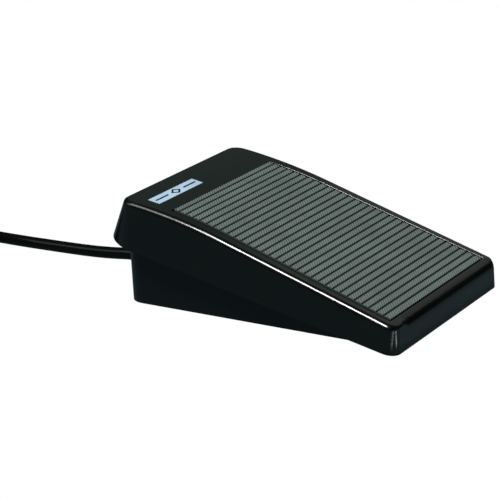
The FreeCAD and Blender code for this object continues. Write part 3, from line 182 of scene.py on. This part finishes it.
def rubber(name, low, high, roughness, grain=1800, depth=0.00003, specular=0.3):
    """Dull rubber, a little dusty and uneven."""
    made = Shader(name, high, roughness, specular_ior_level=specular)
    cloudy = made.noise(60, 4, 0.65)
    colour = made.ramp(cloudy, (0.3, low), (0.7, high))
    made.set(made.surface, base_color=colour)
    fine = made.noise(grain, 2, 0.6)
    shine = made.spread(cloudy, 0.3, 0.7, roughness + 0.05, roughness - 0.05)
    made.set(made.surface, roughness=shine, normal=made.bump(fine, depth, 0.6))
    return made.material


def ribbed_rubber(name, low, high, painted_shade, roughness):
    """The mat's rubber: dull on top, darkened with painted shade in its grooves and between its
    fine ridges.
    """
    made = Shader(name, high, roughness, specular_ior_level=0.25)
    cloudy = made.noise(55, 4, 0.65)
    unshaded = made.ramp(cloudy, (0.3, low), (0.7, high))
    # Painted shade: the dark colour is blended in where the height attribute falls towards 0, in
    # the grooves and between the ridges.
    made.set(made.surface, base_color=made.blend(made.attribute("height"), painted_shade, unshaded))
    fine = made.noise(1700, 2, 0.6)
    shine = made.spread(cloudy, 0.3, 0.7, roughness + 0.06, roughness - 0.06)
    made.set(made.surface, roughness=shine, normal=made.bump(fine, 0.00004, 0.6))
    return made.material


def metal(name, colour, roughness, along=(1, 1, 1)):
    """Bare or plated metal with drawn or brushed streaks and a little tarnish."""
    made = Shader(name, colour, roughness, metallic=1.0)
    streaks = made.noise(900, 3, 0.7, made.stretched(*along))
    tarnish = made.noise(120, 4, 0.6)
    dark = shade(0.72, colour)
    made.set(made.surface, base_color=made.ramp(tarnish, (0.35, dark), (0.62, colour)))
    made.set(made.surface, roughness=made.spread(streaks, 0.2, 0.8, roughness, roughness + 0.12))
    made.set(made.surface, normal=made.bump(streaks, 0.00001, 0.4))
    return made.material


def coloured(name, colour, roughness):
    """Plain moulded plastic in a colour."""
    made = Shader(name, colour, roughness)
    cloudy = made.noise(90, 3)
    made.set(made.surface, base_color=made.ramp(cloudy, (0.3, shade(0.9, colour)), (0.7, colour)))
    made.set(made.surface, roughness=made.spread(cloudy, 0.3, 0.7, roughness, roughness + 0.08))
    made.set(made.surface, normal=made.bump(made.noise(500), 0.00001, 0.4))
    return made.material


NEUTRAL_BLACK = (0.95, 1.0, 0.98)
materials = {
    "treadle_plastic": moulded_plastic("treadle_plastic", 0.0018, (0.7, 1.0, 0.97), 0.2, 2600),
    "base_plastic": moulded_plastic("base_plastic", 0.0014, (0.6, 1.0, 1.05), 0.3, 2200),
    "mat_rubber": ribbed_rubber(
        # The third colour is painted shade for the grooves and the hollows between the ridges.
        "mat_rubber", (0.063, 0.082, 0.076), (0.086, 0.11, 0.102), (0.012, 0.019, 0.017), 0.7,
    ),
    "label_film": coloured("label_film", (0.262, 0.362, 0.45), 0.35),
    "foot_rubber": rubber("foot_rubber", (0.018, 0.018, 0.018), (0.03, 0.03, 0.029), 0.7),
    "cord_pvc": rubber(
        "cord_pvc", (0.0012, 0.0014, 0.0014), (0.002, 0.0022, 0.0022), 0.22, 900, 0.00001, 0.16,
    ),
    "plug_plastic": moulded_plastic("plug_plastic", 0.012, NEUTRAL_BLACK, 0.4, 2000),
    "plug_metal": metal("plug_metal", (0.78, 0.77, 0.74), 0.16),
    "plated_steel": metal("plated_steel", (0.66, 0.66, 0.62), 0.28),
    "sheet_steel": metal("sheet_steel", (0.52, 0.53, 0.53), 0.34, (0.2, 1, 1)),
    "spring_steel": metal("spring_steel", (0.5, 0.5, 0.51), 0.26),
    "painted_steel": moulded_plastic(
        "painted_steel", 0.016, NEUTRAL_BLACK, 0.36, 1400, depth=0.00003,
    ),
    "nylon": coloured("nylon", (0.78, 0.76, 0.68), 0.45),
    "felt": rubber("felt", (0.16, 0.16, 0.15), (0.26, 0.26, 0.25), 0.95, 2500, 0.0002, 0.1),
    "switch_case": coloured("switch_case", (0.03, 0.03, 0.035), 0.32),
    "switch_button": coloured("switch_button", (0.5, 0.04, 0.03), 0.4),
    "contact_brass": metal("contact_brass", (0.78, 0.6, 0.28), 0.25),
    "wire_red": coloured("wire_red", (0.5, 0.03, 0.03), 0.4),
    "wire_yellow": coloured("wire_yellow", (0.7, 0.5, 0.05), 0.4),
    "wire_white": coloured("wire_white", (0.75, 0.75, 0.72), 0.4),
}


def paint_nodes():
    """Gives every CAD node the material of its slot."""
    for part in frame["record"]["subparts"]:
        slots = nodes[part["node"]].data.materials
        slots.clear()
        slots.append(materials[part["material_slot"]])


def link(name, mesh, body, slot, *replaced):
    """A finished piece with its slot and the CAD nodes it stands for, on its body if one is given.
    """
    made = bpy.data.objects.new(name, mesh)
    bpy.context.scene.collection.objects.link(made)
    mesh.materials.append(materials[slot])
    if body:
        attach(made, body)
    if replaced:
        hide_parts(*replaced)
    return made


# ---- lead ----

# The route and the coil are in millimetres. A ring's radius is that of its middle line.
CORD_RADIUS = 3.0 * MM
CORD_ROUTE = [
    (0.0, 92.2, 9.0),
    (0.0, 99.0, 9.0),
    (0.5, 109.0, 7.6),
    (1.6, 125.0, 6.1),
    (3.4, 147.0, 4.9),
    (5.8, 176.0, 3.5),
    (7.5, 207.0, 3.05),
]
COIL_MIDDLE = (-27.75, 218.0)
COIL_OUTER = 35.25
COIL_LOW = 3.05
COIL_PITCH = 6.1
COIL_RINGS, COIL_LAYERS = 3, 3
COIL_STEPS = 20
# In turns: the whole coil, the length of a step to the next ring, and where the first one starts.
COIL_END = 8.65
STEP_TURN = 0.15
FIRST_STEP = 0.65
COIL_LEAVES = [
    (-40.3, 198.2, 21.4),
    (-31.8, 194.0, 21.5),
    (-21.3, 191.7, 21.7),
    (-11.8, 192.4, 22.0),
    (-3.3, 197.0, 22.3),
    (1.7, 203.5, 22.5),
    (3.25, 209.0, 22.7),
    (3.25, 212.5, 22.7),
]


def step(turn, start):
    """How far a step of the winding has gone, from 0 to 1."""
    return min(max((turn - start) / STEP_TURN, 0), 1)


def coil_point(turn):
    """A point of the coil, which steps from ring to ring, then up, and then back ring by ring."""
    radius, height = COIL_OUTER, COIL_LOW
    for layer in range(COIL_LAYERS):
        first = FIRST_STEP + layer * (COIL_RINGS - 2 * STEP_TURN)
        inward = 1 if layer % 2 == 0 else -1
        for ring in range(COIL_RINGS - 1):
            radius -= inward * COIL_PITCH * step(turn, first + ring)
        height += COIL_PITCH * step(turn, first + COIL_RINGS - 1 - STEP_TURN)
    angle = 2 * math.pi * turn
    return (
        COIL_MIDDLE[0] + radius * math.cos(angle),
        COIL_MIDDLE[1] + radius * math.sin(angle),
        height,
    )


def cord_points():
    """The lead's route: straight out, down to the floor, into the coil and up to the plug."""
    count = round(COIL_END * COIL_STEPS)
    wound = [coil_point(i / COIL_STEPS) for i in range(count)]
    return [tuple(c * MM for c in p) for p in CORD_ROUTE + wound + COIL_LEAVES]


def make_cord():
    """The lead as one smooth tube, with the boot and the plug on it."""
    curve = bpy.data.curves.new("lead", "CURVE")
    curve.dimensions = "3D"
    curve.bevel_depth = CORD_RADIUS
    curve.bevel_resolution = 8
    curve.resolution_u = 6
    curve.use_fill_caps = True
    route = curve.splines.new("NURBS")
    points = cord_points()
    route.points.add(len(points) - 1)
    for point, place in zip(route.points, points):
        point.co = (*place, 1)
    route.order_u = 3
    route.use_endpoint_u = True
    curve.materials.append(materials["cord_pvc"])
    cord = bpy.data.objects.new("lead", curve)
    bpy.context.scene.collection.objects.link(cord)
    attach(cord, "base")
    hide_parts("cord", "cord_coil")


# ---- treadle's top ----

# The treadle's own frame stands at the front of its rim: u runs up the rim, v stands square to it.
RIM_FRONT = (-79.0, 2.0)
INCLINE = math.radians(12.2)
FRONT_RISE = 12.86
FRONT_DRAFT = math.radians(13)
FRONT_SLOPE, REAR_SLOPE = math.radians(5.54), math.radians(-4.11)
STRAIGHT_RUN, BEND_RUN = 94.8, 50.0

MAT_START, MAT_END = 5.5, 125.6
MAT_HALF_FRONT, MAT_HALF_REAR = 44.4, 41.5
MAT_TOP, GROOVE_FLOOR, MAT_BOTTOM = 0.3, -0.4, -0.78
LAST_GROOVE, RIB_PITCH, RIBS = 122.6, 3.91, 31
GROOVE_HALF = 0.45
# A rib's rounded edges, how far in their shoulders stand, and how deep the rib's root goes.
RIB_EDGE, RIB_SHOULDER, RIB_ROOT = 0.22, 0.04, 0.05
# The fine ridges: pitch and depth, and where in each pitch the surface is low or high.
RIDGE_PITCH = 1.88
RIDGE_DEPTH = 0.32
RIDGE_PROFILE = ((0.0, 1.0), (0.3, 0.0), (0.72, 0.0))
# How much painted shade the hollows between the fine ridges get; a groove's floor gets all of it.
PAINTED_SHADE_BETWEEN_RIDGES = 0.75
SLAB_STEPS = 48

LABEL_LEFT, LABEL_RIGHT = -41.4, -4.9
LABEL_START, LABEL_END = 134.0, 140.6
LABEL_TOP = 0.15
PRINT_HALF_HEIGHT = 0.06
RULE_INSET, RULE_END, RULE_HALF_WIDTH = 1.8, 12.0, 0.5
DIAMOND_OUTER, DIAMOND_INNER = (3.7, 2.5), (2.1, 1.4)


def top_point(run):
    """(u, v, slope) of the treadle's top, run millimetres behind its front edge."""
    radius = BEND_RUN / (FRONT_SLOPE - REAR_SLOPE)
    flat = min(run, STRAIGHT_RUN)
    slope = FRONT_SLOPE - min(max(run - STRAIGHT_RUN, 0), BEND_RUN) / radius
    after = max(run - STRAIGHT_RUN - BEND_RUN, 0)
    u = FRONT_RISE * math.tan(FRONT_DRAFT) + flat * math.cos(FRONT_SLOPE) + after * math.cos(slope)
    v = FRONT_RISE + flat * math.sin(FRONT_SLOPE) + after * math.sin(slope)
    u += radius * (math.sin(FRONT_SLOPE) - math.sin(slope))
    v += radius * (math.cos(slope) - math.cos(FRONT_SLOPE))
    return u, v, slope


def on_top(x, run, height):
    """A place in metres, height millimetres over the treadle's top."""
    u, v, slope = top_point(run)
    u -= height * math.sin(slope)
    v += height * math.cos(slope)
    y = RIM_FRONT[0] + u * math.cos(INCLINE) - v * math.sin(INCLINE)
    z = RIM_FRONT[1] + u * math.sin(INCLINE) + v * math.cos(INCLINE)
    return Vector((x, y, z)) * MM


def mat_half(run):
    """Half the mat's width, which narrows towards the rear."""
    share = (run - MAT_START) / (MAT_END - MAT_START)
    return MAT_HALF_FRONT + (MAT_HALF_REAR - MAT_HALF_FRONT) * share


def rib_spans():
    """Where each rib starts and ends, from the front."""
    grooves = sorted(LAST_GROOVE - RIB_PITCH * i for i in range(RIBS - 1))
    starts = [MAT_START] + [g + GROOVE_HALF for g in grooves]
    ends = [g - GROOVE_HALF for g in grooves] + [MAT_END]
    return zip(starts, ends)


def add_rib(mesh, level, start, end):
    """One rib as a tube open at its ends. Fine ridges cross its top at 45 degrees."""
    low = GROOVE_FLOOR - RIB_ROOT
    shoulder = MAT_TOP - RIB_EDGE
    # Along the mat: where, how high, and the share of the ridges' depth that is cut there.
    section = [
        (start, low, 0.0),
        (start + RIB_SHOULDER, shoulder, 0.6),
        (start + RIB_EDGE, MAT_TOP, 1.0),
        (end - RIB_EDGE, MAT_TOP, 1.0),
        (end - RIB_SHOULDER, shoulder, 0.6),
        (end, low, 0.0),
    ]
    margin = 2 * RIDGE_PITCH
    first = math.floor((-MAT_HALF_FRONT - end - margin) / RIDGE_PITCH)
    last = math.ceil((MAT_HALF_FRONT - start + margin) / RIDGE_PITCH)
    rings = []
    for ridge in range(first, last):
        for share, fall in RIDGE_PROFILE:
            ring = []
            for run, height, cut in section:
                x = (ridge + share) * RIDGE_PITCH + run
                vertex = mesh.verts.new(on_top(x, run, height - fall * cut * RIDGE_DEPTH))
                # Painted shade: 0 on a groove's floor, and less than 1 down between the ridges.
                vertex[level] = 0.0 if height == low else 1.0 - PAINTED_SHADE_BETWEEN_RIDGES * fall
                ring.append(vertex)
            rings.append(ring)
    for one, two in zip(rings, rings[1:]):
        for i in range(len(section)):
            j = (i + 1) % len(section)
            mesh.faces.new((one[i], two[i], two[j], one[j]))


def trim_sides(mesh):
    """Cuts the ribs off at the mat's sides and closes their ends."""
    for side in (-1, 1):
        front = on_top(side * MAT_HALF_FRONT, MAT_START, 0)
        rear = on_top(side * MAT_HALF_REAR, MAT_END, 0)
        upright = Vector((0, -math.sin(INCLINE), math.cos(INCLINE)))
        outward = (rear - front).cross(upright) * side
        geometry = mesh.verts[:] + mesh.edges[:] + mesh.faces[:]
        cut = bmesh.ops.bisect_plane(
            mesh, geom=geometry, plane_co=front, plane_no=outward, clear_outer=True,
        )
        edges = [e for e in cut["geom_cut"] if isinstance(e, bmesh.types.BMEdge)]
        bmesh.ops.holes_fill(mesh, edges=edges)


def add_slab(mesh):
    """The mat's body under its ribs."""
    rings = []
    for i in range(SLAB_STEPS + 1):
        run = MAT_START + (MAT_END - MAT_START) * i / SLAB_STEPS
        half = mat_half(run)
        corners = (
            (-half, MAT_BOTTOM), (half, MAT_BOTTOM), (half, GROOVE_FLOOR), (-half, GROOVE_FLOOR),
        )
        rings.append([mesh.verts.new(on_top(x, run, height)) for x, height in corners])
    for one, two in zip(rings, rings[1:]):
        for i in range(4):
            j = (i + 1) % 4
            mesh.faces.new((one[i], one[j], two[j], two[i]))
    mesh.faces.new(rings[0][::-1])
    mesh.faces.new(rings[-1])


def make_mat():
    """The mat, with the height of each vertex for its material's painted shade, from 0 in a groove
    to 1 on top.
    """
    mesh = bmesh.new()
    level = mesh.verts.layers.float.new("height")
    for start, end in rib_spans():
        add_rib(mesh, level, start, end)
    trim_sides(mesh)
    add_slab(mesh)
    bmesh.ops.recalc_face_normals(mesh, faces=mesh.faces[:])
    made = bpy.data.meshes.new("ribbed_mat")
    mesh.to_mesh(made)
    mesh.free()
    link("ribbed_mat", made, "treadle", "mat_rubber", "tread_mat")


def add_print(mesh, outline):
    """A printed shape on the label, from its outline in millimetres."""
    low, high = LABEL_TOP - PRINT_HALF_HEIGHT, LABEL_TOP + PRINT_HALF_HEIGHT
    bottom = [mesh.verts.new(on_top(x, run, low)) for x, run in outline]
    top = [mesh.verts.new(on_top(x, run, high)) for x, run in outline]
    mesh.faces.new(top)
    mesh.faces.new(bottom[::-1])
    for i in range(len(outline)):
        j = (i + 1) % len(outline)
        mesh.faces.new((bottom[i], bottom[j], top[j], top[i]))


def make_label_print():
    """Two rules with a plain open diamond between them."""
    mesh = bmesh.new()
    middle = (LABEL_START + LABEL_END) / 2
    centre = (LABEL_LEFT + LABEL_RIGHT) / 2
    low, high = middle - RULE_HALF_WIDTH, middle + RULE_HALF_WIDTH
    for left, right in (
        (LABEL_LEFT + RULE_INSET, LABEL_LEFT + RULE_END),
        (LABEL_RIGHT - RULE_END, LABEL_RIGHT - RULE_INSET),
    ):
        add_print(mesh, [(left, low), (right, low), (right, high), (left, high)])
    corners = ((1, 0), (0, 1), (-1, 0), (0, -1))
    outer, inner = DIAMOND_OUTER, DIAMOND_INNER
    for one, two in zip(corners, corners[1:] + corners[:1]):
        sides = ((one, outer), (two, outer), (two, inner), (one, inner))
        add_print(mesh, [(centre + x * wide, middle + y * high) for (x, y), (wide, high) in sides])
    bmesh.ops.recalc_face_normals(mesh, faces=mesh.faces[:])
    made = bpy.data.meshes.new("label_print")
    mesh.to_mesh(made)
    mesh.free()
    link("label_print", made, "treadle", "base_plastic")


# ---- return springs ----


def make_spring(side):
    """A return spring, copied from its CAD node with its placing baked in, on no body."""
    name = "return_spring_" + side
    made = link("coil_spring_" + side, nodes[name].data.copy(), None, "spring_steel", name)
    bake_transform(made)


# ---- studio ----

FLOOR_HALF = 6.0
PEDAL = (0, 0, 0.03)
WHITE = (1, 1, 1)


def stage_floor():
    """The floor, which lights the object from below. The camera sees white in its place."""
    mesh = bpy.data.meshes.new("floor")
    signs = ((-1, -1), (1, -1), (1, 1), (-1, 1))
    mesh.from_pydata([(x * FLOOR_HALF, y * FLOOR_HALF, 0) for x, y in signs], [], [(0, 1, 2, 3)])
    floor = bpy.data.objects.new("floor", mesh)
    bpy.context.scene.collection.objects.link(floor)
    floor.visible_camera = False
    material = bpy.data.materials.new("floor")
    material.use_nodes = True
    tree = material.node_tree
    tree.nodes.remove(tree.nodes["Principled BSDF"])
    glow = tree.nodes.new("ShaderNodeEmission")
    glow.inputs["Color"].default_value = (0.085, 0.128, 0.145, 1)
    tree.links.new(glow.outputs["Emission"], tree.nodes["Material Output"].inputs["Surface"])
    mesh.materials.append(material)


def area_light(name, place, target, size, radiance, colour=WHITE):
    """A soft box of even radiance that faces its target, out of the camera's sight."""
    lamp = bpy.data.lights.new(name, "AREA")
    lamp.shape = "RECTANGLE"
    lamp.size, lamp.size_y = size
    lamp.energy = radiance * math.pi * size[0] * size[1]
    lamp.color = colour
    made = bpy.data.objects.new(name, lamp)
    bpy.context.scene.collection.objects.link(made)
    made.location = place
    made.rotation_euler = (Vector(place) - Vector(target)).to_track_quat("Z", "Y").to_euler()
    made.visible_camera = False


def make_world():
    """White where the camera looks, and nearly dark for everything that lights or is mirrored."""
    world = bpy.data.worlds.new("studio")
    bpy.context.scene.world = world
    world.use_nodes = True
    tree = world.node_tree
    white = tree.nodes["Background"]
    white.inputs["Color"].default_value = (*WHITE, 1)
    dim = tree.nodes.new("ShaderNodeBackground")
    dim.inputs["Color"].default_value = (0.012, 0.013, 0.013, 1)
    rays = tree.nodes.new("ShaderNodeLightPath").outputs
    mix = tree.nodes.new("ShaderNodeMixShader")
    tree.links.new(rays["Is Camera Ray"], mix.inputs["Fac"])
    tree.links.new(dim.outputs["Background"], mix.inputs[1])
    tree.links.new(white.outputs["Background"], mix.inputs[2])
    tree.links.new(mix.outputs["Shader"], tree.nodes["World Output"].inputs["Surface"])


def light_studio():
    """Soft boxes above, dim backdrops that the gloss mirrors, and cards facing up on the floor."""
    area_light("overhead", (-0.69, 0.09, 1.32), PEDAL, (0.5, 0.45), 60)
    area_light("overhead_rear", (-0.62, 0.62, 1.3), PEDAL, (0.5, 0.5), 5)
    area_light("backdrop_rear", (1.2, 0.68, 0.8), PEDAL, (0.75, 0.75), 0.12, (0.75, 1.0, 0.88))
    area_light("backdrop_front", (1.28, -0.12, 0.8), PEDAL, (0.95, 0.75), 0.33, (0.9, 1.0, 0.9))
    area_light("rear_fill", (-0.8, 1.2, 1.0), (0, 0.1, 0), (0.8, 0.6), 2)
    cards = (
        ("front_card", (0.02, -0.14, 0.0005), (0.2, 0.11), 0.05, (0.65, 0.95, 1.0)),
        ("glow_left", (-0.064, -0.127, 0.001), (0.002, 0.07), 9, WHITE),
        ("glow_right", (-0.045, -0.13, 0.001), (0.003, 0.07), 9, WHITE),
    )
    for name, place, size, radiance, colour in cards:
        area_light(name, place, (place[0], place[1], 1), size, radiance, colour)


make_camera()
paint_nodes()
make_cord()
make_mat()
make_label_print()
make_spring("left")
make_spring("right")
stage_floor()
make_world()
light_studio()
bpy.context.scene.view_settings.view_transform = "Standard"
